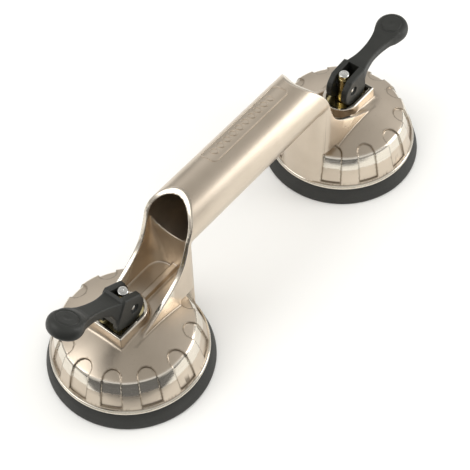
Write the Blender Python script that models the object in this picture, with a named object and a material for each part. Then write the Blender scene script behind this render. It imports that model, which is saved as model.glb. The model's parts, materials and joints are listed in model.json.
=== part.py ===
"""Twin-cup vacuum lifter: a die-cast body with a tubular handle between two lever-locked suction cups.

The origin is on the floor under the middle of the whole object. +X runs along the handle from cup A to
cup B, +Z is up. Every length below is in millimetres, and every angle in degrees.
"""

import math

import bmesh
import bpy
from mathutils import Matrix, Vector

MM = 0.001
GAP = 0.3

# Driving dimensions
CUP_SPACING = 236.0
PAD_RADIUS = 57.0
PAD_HEIGHT = 12.3
CUP_STEPS = 60

FLANGE_RADIUS = 53.6
FLANGE_BOTTOM = PAD_HEIGHT + GAP
FLANGE_TOP = 16.0
WALL_FOOT_RADIUS = 52.3
CHAMFER_FOOT = (48.8, 29.4)
CHAMFER_TOP = (45.4, 37.6)
DOME_TOP = 47.5
SHELL = 3.5

HANDLE_AXIS = 98.0
HANDLE_RADIUS = 19.5
BORE_RADIUS = 16.0
TUBE_STEPS = 40
PILLAR_RADIUS = 53.0
PILLAR_HALF_WIDTH = 19.2
PILLAR_CORNER = 11.2
TROUGH_HALF_WIDTH = 15.6
OVERLAP = 3.0
CORE_BOTTOM = 5.0
SKIRT_END = 15.0
TROUGH_FLOOR = 47.0
TROUGH_BACK = 49.0
RIB_HALF_WIDTH = 2.0
RIB_HEIGHT = 3.2

BOSS_HALF_WIDTH = 13.2
BOSS_OUTER_END = 19.5
BOSS_ROUND_CENTRE = -2.0
BOSS_TOP = 54.5
BOSS_WALL = 2.5
POCKET_FLOOR = 49.0
HUB_RADIUS = 11.0
HUB_BOTTOM = 37.0
BUSH_BORE_RADIUS = 6.3

FLUTE_HALF_ANGLE = 7.8
FLUTE_DEPTH = 1.2
FLUTE_ROUND_CENTRE = 42.8
FLUTE_OUTER_END = 62.0
FLUTE_BOTTOM = 17.6
FLUTE_TOP = 45.2
FLUTE_ANGLES = (-152, -121, -89, -58, -28, 0, 28, 58, 89, 121, 152)

CAM_PLATE = 1.6
CAM_PLATE_TOP = POCKET_FLOOR + GAP + CAM_PLATE
CAM_LOCKED = 13.2
CAM_OPEN = 9.4
LOCKED_ANGLE = 6.0
OPEN_ANGLE = 90.0
STUD_RADIUS = 3.75
STUD_ABOVE_PIVOT = 12.5
STUD_BOTTOM = 11.0
PIN_RADIUS = 2.4
FORK_HALF_WIDTH = 9.0
SLOT_HALF_WIDTH = 4.3
KNOB_RADIUS = 12.0
KNOB_REACH = 59.0
ARM_START = 14.6

# Top edge of the skirt walls: distance from the cup's axis, and height, from the dome up to the mouth.
MOUTH_EDGE = (
    (15, 44.0), (8, 44.9), (-4, 50), (-12, 55), (-20, 59.5), (-27, 64.5), (-33, 70), (-38, 77),
    (-41.5, 86), (-44, 95), (-47, 102.5), (-51.5, 109.5), (-56, 113.6), (-62, 117.9),
)

# Each cup: which way its lever points along X, and the angle at which the lever rests.
CUPS = {"a": (-1, 28.0), "b": (1, LOCKED_ANGLE)}


def knob_reach(rest):
    """How far from its cup's axis a resting lever reaches along X."""
    angle = math.radians(rest)
    return (KNOB_REACH + KNOB_RADIUS) * math.cos(angle) - 2.6 * math.sin(angle)


# Cup B's lever overhangs more than cup A's, so the middle of the object isn't the middle of the handle.
LONGEST_A = max(PAD_RADIUS, knob_reach(CUPS["a"][1]))
LONGEST_B = max(PAD_RADIUS, knob_reach(CUPS["b"][1]))
HANDLE_X = (LONGEST_A - LONGEST_B) / 2


def cup_x(side):
    return HANDLE_X + side * CUP_SPACING / 2


def stud_drop(rest):
    """How far the stud is below its locked height while the lever stands at this angle."""
    return (CAM_LOCKED - CAM_OPEN) * (rest - LOCKED_ANGLE) / (OPEN_ANGLE - LOCKED_ANGLE)


def pivot_height(rest):
    return CAM_PLATE_TOP + GAP + CAM_LOCKED - stud_drop(rest)


# Materials

FINISHES = {
    "cast_nickel": ((0.60, 0.55, 0.47), 0.34, 1.0),
    "rubber": ((0.030, 0.030, 0.028), 0.75, 0.0),
    "lever_plastic": ((0.025, 0.026, 0.024), 0.45, 0.0),
    "zinc_yellow": ((0.72, 0.62, 0.34), 0.30, 1.0),
    "bright_steel": ((0.78, 0.77, 0.74), 0.22, 1.0),
    "spring_steel": ((0.42, 0.42, 0.42), 0.35, 1.0),
    "bronze": ((0.55, 0.38, 0.20), 0.40, 1.0),
}


def finish(obj, name):
    material = bpy.data.materials.get(name)
    if material is None:
        colour, roughness, metallic = FINISHES[name]
        material = bpy.data.materials.new(name)
        material.use_nodes = True
        shader = material.node_tree.nodes["Principled BSDF"]
        shader.inputs["Base Color"].default_value = (*colour, 1.0)
        shader.inputs["Roughness"].default_value = roughness
        shader.inputs["Metallic"].default_value = metallic
    obj.data.materials.append(material)


# Shapes

def clear_scene():
    for obj in list(bpy.data.objects):
        bpy.data.objects.remove(obj)


def mesh_object(name, bm):
    bmesh.ops.recalc_face_normals(bm, faces=bm.faces)
    mesh = bpy.data.meshes.new(name)
    bm.to_mesh(mesh)
    bm.free()
    mesh.shade_smooth()
    mesh.set_sharp_from_angle(angle=math.radians(32))
    obj = bpy.data.objects.new(name, mesh)
    bpy.context.collection.objects.link(obj)
    return obj


def turned(name, outline, steps=CUP_STEPS):
    """A solid of revolution about Z, from a closed (radius, height) outline."""
    bm = bmesh.new()
    points = [bm.verts.new((r * MM, 0, z * MM)) for r, z in outline]
    edges = [bm.edges.new((a, b)) for a, b in zip(points, points[1:] + points[:1])]
    bmesh.ops.spin(bm, geom=points + edges, cent=(0, 0, 0), axis=(0, 0, 1), angle=math.tau,
                   steps=steps, use_merge=True)
    bmesh.ops.remove_doubles(bm, verts=bm.verts, dist=1e-6)
    loose = [e for e in bm.edges if not e.link_faces]
    bmesh.ops.delete(bm, geom=loose, context="EDGES")
    return mesh_object(name, bm)


def prism(name, outline, low, high, axis="Z"):
    """A flat outline pushed along an axis. It lies in XY for Z, and in XZ for Y."""
    bm = bmesh.new()
    if axis == "Z":
        points = [bm.verts.new((u * MM, v * MM, low * MM)) for u, v in outline]
        push = Vector((0, 0, (high - low) * MM))
    else:
        points = [bm.verts.new((u * MM, low * MM, v * MM)) for u, v in outline]
        push = Vector((0, (high - low) * MM, 0))
    face = bm.faces.new(points)
    made = bmesh.ops.extrude_face_region(bm, geom=[face])["geom"]
    bmesh.ops.translate(bm, vec=push, verts=[v for v in made if isinstance(v, bmesh.types.BMVert)])
    return mesh_object(name, bm)


def cylinder(name, radius, low, high, axis="Z", steps=TUBE_STEPS):
    """A plain round bar centred on an axis through the object's origin."""
    bm = bmesh.new()
    turn = {"Z": Matrix(), "X": Matrix.Rotation(math.radians(90), 4, "Y"),
            "Y": Matrix.Rotation(math.radians(-90), 4, "X")}[axis]
    move = Matrix.Translation((0, 0, (low + high) / 2 * MM))
    bmesh.ops.create_cone(bm, cap_ends=True, segments=steps, radius1=radius * MM, radius2=radius * MM,
                          depth=(high - low) * MM, matrix=turn @ move)
    return mesh_object(name, bm)


def combine(obj, other, operation):
    modifier = obj.modifiers.new(operation.lower() + "_" + other.name, "BOOLEAN")
    modifier.object = other
    modifier.operation = operation
    modifier.solver = "EXACT"
    other.hide_render = True
    other.display_type = "WIRE"
    return obj


def place(obj, x=0.0, y=0.0, z=0.0, side=1):
    """Puts an object down. Side -1 turns it half round, so that its +X points to -X."""
    obj.location = (x * MM, y * MM, z * MM)
    obj.rotation_euler = (0, 0, 0 if side > 0 else math.pi)
    return obj


def arc(cx, cy, radius, start, end, steps):
    """Points on a circle, from one angle to the other."""
    angles = [math.radians(start + (end - start) * i / steps) for i in range(steps + 1)]
    return [(cx + radius * math.cos(a), cy + radius * math.sin(a)) for a in angles]


# Body casting. Local frame of each cup: its axis is Z, and +X points away from the handle.

def dome(radius, drop=0.0):
    """Height of the domed top at a radius, lowered by drop."""
    return DOME_TOP - drop - (DOME_TOP - CHAMFER_TOP[1]) * (radius / CHAMFER_TOP[0]) ** 2


def cup_outline(inset=0.0):
    """The cup's outer side, from the axis outwards and down. Inset moves it inwards for the flutes."""
    edge = CHAMFER_TOP[0] - 0.5 * inset
    top = [(edge * i / 5, dome(edge * i / 5, inset)) for i in range(6)]
    slope = [(CHAMFER_FOOT[0] - inset, CHAMFER_FOOT[1] - 0.3 * inset)]
    foot = [(WALL_FOOT_RADIUS - inset, FLANGE_TOP)]
    return top + slope + foot


def cup_blank(name, x, side):
    """The hollow shell, with a hub in its middle that carries the guide bush."""
    mouth = FLANGE_RADIUS - 5.0
    lip = [(FLANGE_RADIUS, FLANGE_TOP), (FLANGE_RADIUS, FLANGE_BOTTOM), (mouth, FLANGE_BOTTOM)]
    hollow = [(mouth, FLANGE_TOP - 1), (CHAMFER_FOOT[0] - SHELL, CHAMFER_FOOT[1])]
    hollow += [(CHAMFER_TOP[0] - SHELL + 0.4, CHAMFER_TOP[1] - SHELL + 0.6), (30, dome(30) - SHELL)]
    hollow += [(HUB_RADIUS + 1, dome(HUB_RADIUS) - SHELL), (HUB_RADIUS, HUB_BOTTOM), (0, HUB_BOTTOM)]
    return place(turned(name, cup_outline() + lip + hollow), x, side=side)


def boss_outline(inset=0.0):
    """D-shaped plan: flat sides along X, a flat outer end, and a round end towards the handle."""
    half = BOSS_HALF_WIDTH - inset
    end = BOSS_OUTER_END - inset
    return [(end, -half), (end, half)] + arc(BOSS_ROUND_CENTRE, 0, half, 90, 270, 16)


def flute_outline(angle):
    """Plan of one finger flute: round towards the axis, then widening out past the rim."""
    half_angle = math.radians(FLUTE_HALF_ANGLE)
    radius = FLUTE_ROUND_CENTRE * math.sin(half_angle)
    half = FLUTE_OUTER_END * math.tan(half_angle)
    plan = arc(FLUTE_ROUND_CENTRE, 0, radius, 90 + FLUTE_HALF_ANGLE, 270 - FLUTE_HALF_ANGLE, 8)
    turn = Matrix.Rotation(math.radians(angle), 2)
    return [tuple(turn @ Vector(p)) for p in plan + [(FLUTE_OUTER_END, -half), (FLUTE_OUTER_END, half)]]


def flute_cutter(name, x, side):
    """All of a cup's flutes: upright prisms, less the core that leaves them their depth."""
    bm = bmesh.new()
    for angle in FLUTE_ANGLES:
        points = [bm.verts.new((u * MM, v * MM, FLUTE_BOTTOM * MM)) for u, v in flute_outline(angle)]
        face = bm.faces.new(points)
        made = bmesh.ops.extrude_face_region(bm, geom=[face])["geom"]
        tops = [v for v in made if isinstance(v, bmesh.types.BMVert)]
        bmesh.ops.translate(bm, vec=(0, 0, (FLUTE_TOP - FLUTE_BOTTOM) * MM), verts=tops)
    flutes = place(mesh_object(name, bm), x, side=side)
    return combine(flutes, cup_core(name, x, side, FLUTE_DEPTH), "DIFFERENCE")


def cup_core(name, x, side, inset):
    """The cup's outside moved inwards, as a plug that keeps a cutter or a wall out of the shell."""
    core = cup_outline(inset) + [(WALL_FOOT_RADIUS - inset, CORE_BOTTOM), (0, CORE_BOTTOM)]
    return place(turned(name + "_core", core), x, side=side)


def pillar(name, x, side):
    """Upright U under one end of the handle, its hand side following the cup's wall.

    It starts halfway through the shell, so the cup keeps its hollow.
    """
    inner = TROUGH_HALF_WIDTH - 0.2
    v = PILLAR_HALF_WIDTH - PILLAR_CORNER
    u = -math.sqrt((PILLAR_RADIUS - PILLAR_CORNER) ** 2 - v ** 2)
    turn = math.degrees(math.atan2(v, u))
    plan = arc(u, v, PILLAR_CORNER, 90, turn, 6) + arc(0, 0, PILLAR_RADIUS, turn, 360 - turn, 8)[1:-1]
    plan += arc(u, -v, PILLAR_CORNER, -turn, -90, 6)
    plan += [(SKIRT_END, -PILLAR_HALF_WIDTH), (SKIRT_END, -inner), (-14, -inner)]
    plan += [(-14, inner), (SKIRT_END, inner), (SKIRT_END, PILLAR_HALF_WIDTH)]
    block = place(prism(name, plan, FLANGE_BOTTOM + 0.6, HANDLE_AXIS + OVERLAP), x, side=side)
    return combine(block, cup_core(name, x, side, SHELL / 2), "DIFFERENCE")


def trough(name, x, side):
    """The open channel between the two skirt walls."""
    half_angle = math.degrees(math.asin(TROUGH_HALF_WIDTH / TROUGH_BACK))
    plan = arc(0, 0, TROUGH_BACK, 180 - half_angle, 180 + half_angle, 12)
    plan += [(SKIRT_END + 12, -TROUGH_HALF_WIDTH), (SKIRT_END + 12, TROUGH_HALF_WIDTH)]
    return place(prism(name, plan, TROUGH_FLOOR, HANDLE_AXIS + OVERLAP), x, side=side)


def mouth_cutter(name, x, side):
    """Everything above the skirt's top edge."""
    far = HANDLE_AXIS + HANDLE_RADIUS + 8
    outline = list(MOUTH_EDGE) + [(MOUTH_EDGE[-1][0] + 1, far), (SKIRT_END + 12, far), (SKIRT_END + 12, 30)]
    return place(prism(name, outline, -30, 30, "Y"), x, side=side)


def build_spine():
    """Handle tube and both pillars, hollowed into a bore and two troughs."""
    reach = CUP_SPACING / 2 - 30
    spine = place(cylinder("spine", HANDLE_RADIUS, -reach, reach, "X"), HANDLE_X, 0, HANDLE_AXIS)
    for key, (side, _) in CUPS.items():
        combine(spine, pillar("pillar_" + key, cup_x(side), side), "UNION")
    for key, (side, _) in CUPS.items():
        combine(spine, mouth_cutter("mouth_" + key, cup_x(side), side), "DIFFERENCE")
        combine(spine, trough("trough_" + key, cup_x(side), side), "DIFFERENCE")
    bore = cylinder("handle_bore", BORE_RADIUS, -reach - 5, reach + 5, "X")
    return combine(spine, place(bore, HANDLE_X, 0, HANDLE_AXIS), "DIFFERENCE")


def build_cup(key, side):
    """One shell with its boss, the pocket for the cam, and the bore for the guide bush."""
    x = cup_x(side)
    cup = cup_blank("cup_blank_" + key, x, side)
    boss = prism("boss_" + key, boss_outline(), dome(BOSS_OUTER_END) - SHELL / 2, BOSS_TOP)
    combine(cup, place(boss, x, side=side), "UNION")
    pocket = prism("pocket_" + key, boss_outline(BOSS_WALL), POCKET_FLOOR, BOSS_TOP + 5)
    combine(cup, place(pocket, x, side=side), "DIFFERENCE")
    bush_bore = cylinder("bush_bore_" + key, BUSH_BORE_RADIUS, HUB_BOTTOM - 3, POCKET_FLOOR + 1)
    return combine(cup, place(bush_bore, x, side=side), "DIFFERENCE")


def build_body():
    body = build_spine()
    body.name = "body_casting"
    body.data.name = "body_casting"
    rib_ends = (-TROUGH_BACK - 1, -BOSS_HALF_WIDTH)
    rib_plan = [(rib_ends[0], -RIB_HALF_WIDTH), (rib_ends[1], -RIB_HALF_WIDTH)]
    rib_plan += [(rib_ends[1], RIB_HALF_WIDTH), (rib_ends[0], RIB_HALF_WIDTH)]
    for key, (side, _) in CUPS.items():
        rib = prism("rib_" + key, rib_plan, TROUGH_FLOOR - 1.5, TROUGH_FLOOR + RIB_HEIGHT)
        combine(body, place(rib, cup_x(side), side=side), "UNION")
        combine(body, build_cup(key, side), "UNION")
        combine(body, flute_cutter("flutes_" + key, cup_x(side), side), "DIFFERENCE")
    finish(body, "cast_nickel")


# Suction pad and the pieces inside each cup

def build_pad(key, x, drop):
    """Rubber disc: a thick rim under the flange, and a thinner middle that the stud draws up."""
    top = STUD_BOTTOM - 0.6 - drop
    outline = [(0, top), (29, top), (36, 7.2), (41, PAD_HEIGHT), (FLANGE_RADIUS - 0.5, PAD_HEIGHT)]
    outline += [(FLANGE_RADIUS + 0.9, PAD_HEIGHT - 2.2), (PAD_RADIUS, 3.2), (PAD_RADIUS - 0.9, 0)]
    outline += [(44, 0), (24, 3.2 - drop), (0, 3.9 - drop)]
    pad = place(turned("suction_pad_" + key, outline, 48), x)
    finish(pad, "rubber")


def ring_outline(inner, outer, low, high):
    return [(inner, high), (outer, high), (outer, low), (inner, low)]


def build_insert_plate(key, x, drop):
    bore = STUD_RADIUS + GAP
    low = STUD_BOTTOM - GAP - drop
    outline = [(bore, low + 4.2), (7, low + 4.2), (7.6, low + 2), (26, low + 2), (26, low), (bore, low)]
    plate = place(turned("insert_plate_" + key, outline, 40), x)
    finish(plate, "bright_steel")


def build_stud_nut(key, x, drop):
    low = STUD_BOTTOM + 4.2 - drop
    nut = place(cylinder("stud_nut_" + key, 7.5, low, low + 4, steps=6), x)
    hole = cylinder("nut_hole_" + key, STUD_RADIUS + GAP, low - 1, low + 5, steps=24)
    combine(nut, place(hole, x), "DIFFERENCE")
    finish(nut, "bright_steel")
    return low + 4


def build_spring(key, x, low, high):
    """Round-wire coil with five turns between the nut and the seat washer."""
    wire = 0.9
    turns, steps = 5, 12
    count = turns * steps
    curve = bpy.data.curves.new("release_spring_" + key, "CURVE")
    curve.dimensions = "3D"
    curve.bevel_depth = wire * MM
    curve.bevel_resolution = 1
    curve.use_fill_caps = True
    spline = curve.splines.new("POLY")
    spline.points.add(count)
    for i, point in enumerate(spline.points):
        angle = math.tau * i / steps
        rise = low + wire + (high - low - 2 * wire) * i / count
        point.co = (7 * math.cos(angle) * MM, 7 * math.sin(angle) * MM, rise * MM, 1)
    spring = bpy.data.objects.new("release_spring_" + key, curve)
    bpy.context.collection.objects.link(spring)
    finish(place(spring, x), "spring_steel")


def build_guides(key, x, side):
    """Guide bush in the hub, the spring's seat washer under it, and the cam plate in the pocket."""
    bore = STUD_RADIUS + GAP
    flange = HUB_BOTTOM - GAP
    top = POCKET_FLOOR - GAP
    outline = [(bore, top), (BUSH_BORE_RADIUS - GAP, top), (BUSH_BORE_RADIUS - GAP, flange)]
    outline += [(9.5, flange), (9.5, flange - 1.6), (bore, flange - 1.6)]
    finish(place(turned("guide_bush_" + key, outline, 32), x), "bronze")
    washer_top = flange - 1.6 - GAP
    washer = turned("spring_seat_washer_" + key, ring_outline(bore, 9, washer_top - 1.2, washer_top), 32)
    finish(place(washer, x), "bright_steel")
    plate = prism("cam_plate_" + key, boss_outline(BOSS_WALL + GAP), POCKET_FLOOR + GAP, CAM_PLATE_TOP)
    hole = cylinder("cam_plate_hole_" + key, STUD_RADIUS + 1.2, POCKET_FLOOR - 1, BOSS_TOP, steps=32)
    combine(place(plate, x, side=side), place(hole, x), "DIFFERENCE")
    finish(plate, "zinc_yellow")
    return washer_top - 1.2


def build_stud(key, x, drop, pivot):
    top = pivot + STUD_ABOVE_PIVOT
    low = STUD_BOTTOM - drop
    outline = [(0, top), (STUD_RADIUS - 0.7, top), (STUD_RADIUS, top - 0.7), (STUD_RADIUS, low), (0, low)]
    stud = place(turned("pull_stud_" + key, outline, 24), x)
    eye = cylinder("stud_eye_" + key, PIN_RADIUS + GAP, -8, 8, "Y", 20)
    combine(stud, place(eye, x, 0, pivot), "DIFFERENCE")
    finish(stud, "zinc_yellow")


def build_pin(key, x, pivot):
    half = FORK_HALF_WIDTH - 0.9
    outline = [(0, half), (PIN_RADIUS - 0.4, half), (PIN_RADIUS, half - 0.4)]
    outline += [(PIN_RADIUS, 0.4 - half), (PIN_RADIUS - 0.4, -half), (0, -half)]
    pin = turned("pivot_pin_" + key, outline, 20)
    pin.data.transform(Matrix.Rotation(math.radians(90), 4, "X"))
    finish(place(pin, x, 0, pivot), "bright_steel")


# Cam lever. Local frame: the pivot is the origin, and the arm points along +X when its angle is 0.

def cam_heel():
    """The cam's edge, whose reach under the pivot falls evenly as the lever goes up."""
    span = math.radians(OPEN_ANGLE - LOCKED_ANGLE)
    fall = (CAM_LOCKED - CAM_OPEN) / span
    points = []
    for i in range(17):
        lift = span * i / 16
        normal = math.radians(-90 - LOCKED_ANGLE) - lift
        reach = CAM_LOCKED - fall * lift
        x = reach * math.cos(normal) - fall * math.sin(normal)
        z = reach * math.sin(normal) + fall * math.cos(normal)
        points.append((x, z))
    return points


def lever_side():
    """The lever seen from the side: heel, fork top, stepped arm, knob, and back under the arm."""
    slope = math.radians(LOCKED_ANGLE)
    heel = cam_heel()
    toe = (heel[0][0] + 9.5 * math.cos(slope), heel[0][1] - 9.5 * math.sin(slope))
    outline = heel + [(-9.2, 0.4), (-8.6, 3.2), (-7.2, 5.7), (-5.2, 7.6), (-3.4, 9.2), (-2, 10.8)]
    outline += [(ARM_START - 1, 10.8), (ARM_START, 8.6)]
    outline += [(24, 8.2), (KNOB_REACH - 16, 8.6), (KNOB_REACH - 12, 9.6)]
    outline += [(KNOB_REACH + KNOB_RADIUS - 1.5, 9.6), (KNOB_REACH + KNOB_RADIUS, 8.1)]
    outline += [(KNOB_REACH + KNOB_RADIUS, 2.6), (KNOB_REACH + KNOB_RADIUS - 1.5, 1.1)]
    outline += [(KNOB_REACH - 14, 1.1), (28, 1.2), (20, -0.6), (15.4, -5.0), (13.0, -10.5), toe]
    return outline


def arm_half_width(x):
    """Half width of the arm between the fork and the knob, narrowest in its middle."""
    t = (x - ARM_START) / (KNOB_REACH - 8 - ARM_START)
    return 8.0 * (1 - t) + 8.6 * t - 11.5 * t * (1 - t)


def lever_plan():
    """The lever seen from above."""
    knob = arc(KNOB_REACH, 0, KNOB_RADIUS, -138, 138, 28)
    stations = [ARM_START + (KNOB_REACH - 10 - ARM_START) * i / 8 for i in range(9)]
    upper = [(x, arm_half_width(x)) for x in stations]
    lower = [(x, -w) for x, w in upper]
    half, end = FORK_HALF_WIDTH, ARM_START - 1
    fork = [(end, half), (-end, half), (-end, -half), (end, -half)]
    return knob + upper[::-1] + fork + lower


def build_lever(key, x, side, rest, pivot):
    lever = prism("cam_lever_" + key, lever_side(), -KNOB_RADIUS - 1, KNOB_RADIUS + 1, "Y")
    plan = prism("lever_plan_" + key, lever_plan(), -20, 20)
    half = SLOT_HALF_WIDTH
    slot = prism("lever_slot_" + key, [(-20, -half), (13, -half), (13, half), (-20, half)], -20, 20)
    eye = cylinder("lever_eye_" + key, PIN_RADIUS + GAP, -12, 12, "Y", 20)
    for cutter, operation in ((plan, "INTERSECT"), (slot, "DIFFERENCE"), (eye, "DIFFERENCE")):
        combine(lever, cutter, operation)
    for obj in (lever, plan, slot, eye):
        obj.matrix_world = (Matrix.Translation((x * MM, 0, pivot * MM))
                            @ Matrix.Rotation(0 if side > 0 else math.pi, 4, "Z")
                            @ Matrix.Rotation(-math.radians(rest), 4, "Y"))
    finish(lever, "lever_plastic")


def build_cup_pieces(key, side, rest):
    x = cup_x(side)
    drop = stud_drop(rest)
    pivot = pivot_height(rest)
    build_pad(key, x, drop)
    build_insert_plate(key, x, drop)
    nut_top = build_stud_nut(key, x, drop)
    washer_bottom = build_guides(key, x, side)
    build_spring(key, x, nut_top + GAP, washer_bottom - GAP)
    build_stud(key, x, drop, pivot)
    build_pin(key, x, pivot)
    build_lever(key, x, side, rest, pivot)


clear_scene()
build_body()
for cup, (direction, rest_angle) in CUPS.items():
    build_cup_pieces(cup, direction, rest_angle)
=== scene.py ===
"""Looks of the twin-cup vacuum lifter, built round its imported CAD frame.

Shapes are worked out in millimetres and placed in metres. +X runs along the handle from cup A to cup B,
and +Z is up. A cup's own frame has its axis as origin and u pointing away from the handle.
"""

import json
import math

import bmesh
import bpy
import numpy as np
from mathutils import Matrix, Vector


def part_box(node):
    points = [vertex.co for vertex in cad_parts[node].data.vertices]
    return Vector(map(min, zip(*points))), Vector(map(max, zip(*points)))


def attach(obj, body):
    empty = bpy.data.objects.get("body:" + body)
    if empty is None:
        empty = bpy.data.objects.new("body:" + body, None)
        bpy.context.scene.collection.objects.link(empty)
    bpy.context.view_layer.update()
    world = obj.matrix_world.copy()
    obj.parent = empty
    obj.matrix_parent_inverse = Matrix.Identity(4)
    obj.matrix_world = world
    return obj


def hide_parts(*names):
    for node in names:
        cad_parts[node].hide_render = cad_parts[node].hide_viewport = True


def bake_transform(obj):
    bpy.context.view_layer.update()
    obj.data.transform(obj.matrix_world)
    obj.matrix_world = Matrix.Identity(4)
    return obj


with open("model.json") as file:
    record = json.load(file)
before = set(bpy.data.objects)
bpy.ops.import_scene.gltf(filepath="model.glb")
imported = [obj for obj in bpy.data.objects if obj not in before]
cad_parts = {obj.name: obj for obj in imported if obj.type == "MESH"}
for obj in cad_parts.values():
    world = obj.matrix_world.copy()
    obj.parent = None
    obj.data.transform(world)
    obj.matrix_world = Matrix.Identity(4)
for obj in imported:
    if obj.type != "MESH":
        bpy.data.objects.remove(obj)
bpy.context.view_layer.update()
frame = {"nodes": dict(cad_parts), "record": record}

MM = 0.001

# Places taken from the frame
PIVOTS = {j["name"][-1]: [c / MM for c in j["pos_m"]]
          for j in frame["record"]["behaviour"]["joints"] if j["name"].startswith("lever_hinge")}
CUP_X = {key: pivot[0] for key, pivot in PIVOTS.items()}
SIDE = {"a": -1, "b": 1}
REST = {"a": 28.0, "b": 6.0}
HANDLE_X = (CUP_X["a"] + CUP_X["b"]) / 2
HALF_SPACING = (CUP_X["b"] - CUP_X["a"]) / 2

# Cup shell
FLANGE_RADIUS = 53.6
FLANGE_BOTTOM = 12.6
FLANGE_TOP = 16.0
WALL_FOOT = (52.3, 16.0)
CHAMFER_FOOT = (48.8, 29.4)
CHAMFER_TOP = (45.4, 37.6)
DOME_TOP = 47.5
DOME_FALL = DOME_TOP - CHAMFER_TOP[1]
SHELL = 3.5
HUB_RADIUS = 11.0
HUB_BOTTOM = 37.0
BUSH_BORE = 6.3

# Flutes
FLUTE_ANGLES = (0, 28, 58, 89, 121, 152)
FLUTE_HALF_ANGLE = math.radians(7.8)
FLUTE_ROUND_CENTRE = 42.8
FLUTE_DEPTH = 1.2
FLUTE_BOTTOM = 17.6
FLUTE_TOP = 45.2

# Handle, pillars and skirts
HANDLE_AXIS = 98.0
TUBE_RADIUS = 19.05
BORE_RADIUS = 16.0
PILLAR_RADIUS = 53.0
PILLAR_HALF_WIDTH = 19.15
PILLAR_CORNER = 11.2
TROUGH_HALF_WIDTH = 15.8
TROUGH_BACK = 49.0
TROUGH_FLOOR = 47.0
TROUGH_CORNER = ((60, 84), (9.0, 1.5))  # heights, and the rounding of the back corners there
SKIRT_END = 14.0
RIB = dict(half_width=2.2, top=51.0, ends=(-50.0, -13.0))
MOUTH_EDGE = (
    (13.5, 42.0), (5, 46.0), (-4, 50.2), (-12, 55), (-20, 59.6), (-27, 64.5), (-33, 70), (-38, 77),
    (-41.5, 86), (-44, 95), (-47, 102.5), (-51.5, 109.2), (-56, 113.6), (-62, 117.7),
)

# Boss
BOSS_HALF_WIDTH = 13.2
BOSS_END = 19.5
BOSS_ROUND_CENTRE = -2.0
BOSS_TOP = 54.5
BOSS_WALL = 2.5
POCKET_FLOOR = 49.0

# Lever, stud and pin, in the lever's own frame: its pivot is the origin and its arm points along +X
CAM_LOCKED = 13.2
CAM_OPEN = 9.4
LOCKED_ANGLE = 6.0
OPEN_ANGLE = 90.0
FORK_HALF_WIDTH = 9.0
SLOT_HALF_WIDTH = 4.3
ARM_START = 14.6
KNOB_RADIUS = 12.0
KNOB_REACH = 59.0
KNOB_TOP = 10.4
KNOB_UNDERSIDE = -1.0
PIN_RADIUS = 2.4
STUD_RADIUS = 3.75
SPRING_RADIUS = 7.0
SPRING_WIRE = 0.9
SPRING_TURNS = 5.8
SPRING_CLOSED = 0.9

# Pads
PAD_RADIUS = 57.0
PAD_TOP = 12.3
WEB_EDGE = 40.0

BODY_STEP = 0.72
LEVER_STEP = 0.5
BODY_FACES = 190000
LEVER_FACES = 60000


# Smooth joins of distance fields

def smin(a, b, k):
    h = np.clip(0.5 + 0.5 * (b - a) / k, 0, 1)
    return b + (a - b) * h - k * h * (1 - h)


def smax(a, b, k):
    return -smin(-a, -b, k)


def line_side(r, z, start, end):
    """Distance outwards from the straight line that runs down from start to end."""
    dr, dz = end[0] - start[0], end[1] - start[1]
    return (-(r - start[0]) * dz + (z - start[1]) * dr) / math.hypot(dr, dz)


def polygon_field(x, y, outline):
    """Signed distance to a closed outline."""
    closest = np.full(x.shape, np.inf)
    inside = np.zeros(x.shape, bool)
    for (ax, ay), (bx, by) in zip(outline, outline[1:] + outline[:1]):
        ex, ey = bx - ax, by - ay
        wx, wy = x - ax, y - ay
        t = np.clip((wx * ex + wy * ey) / (ex * ex + ey * ey), 0, 1)
        closest = np.minimum(closest, (wx - ex * t) ** 2 + (wy - ey * t) ** 2)
        above = (y >= ay) != (y >= by)
        if ey:
            inside ^= above & (x < ax + (y - ay) * ex / ey)
    return np.where(inside, -1, 1) * np.sqrt(closest)


# Meshes from distance fields

def gradient(field, points, step=0.08):
    result = np.empty_like(points)
    for axis in range(3):
        shift = np.zeros(3)
        shift[axis] = step
        result[:, axis] = field(points + shift) - field(points - shift)
    length = np.linalg.norm(result, axis=1, keepdims=True)
    return result / np.maximum(length, 1e-9)


def sampled(field, low, counts, step, block=4):
    """The field on a grid, worked out in full only near the surface."""
    coarse_axes = [low[a] + step * block * np.arange((counts[a] - 1) // block + 1) for a in range(3)]
    coarse = np.stack(np.meshgrid(*coarse_axes, indexing="ij"), -1).reshape(-1, 3)
    values = field(coarse).reshape([len(axis) for axis in coarse_axes])
    nearest = [np.minimum((np.arange(counts[a]) + block // 2) // block, values.shape[a] - 1) for a in range(3)]
    grid = values[np.ix_(*nearest)].astype(np.float32)
    close = np.nonzero(np.abs(grid) < (math.sqrt(3) * (block / 2 + 1) + 0.4) * step)
    points = np.stack([low[a] + step * close[a] for a in range(3)], -1)
    for start in range(0, len(points), 400000):
        part = slice(start, start + 400000)
        grid[tuple(c[part] for c in close)] = field(points[part])
    return grid


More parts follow.
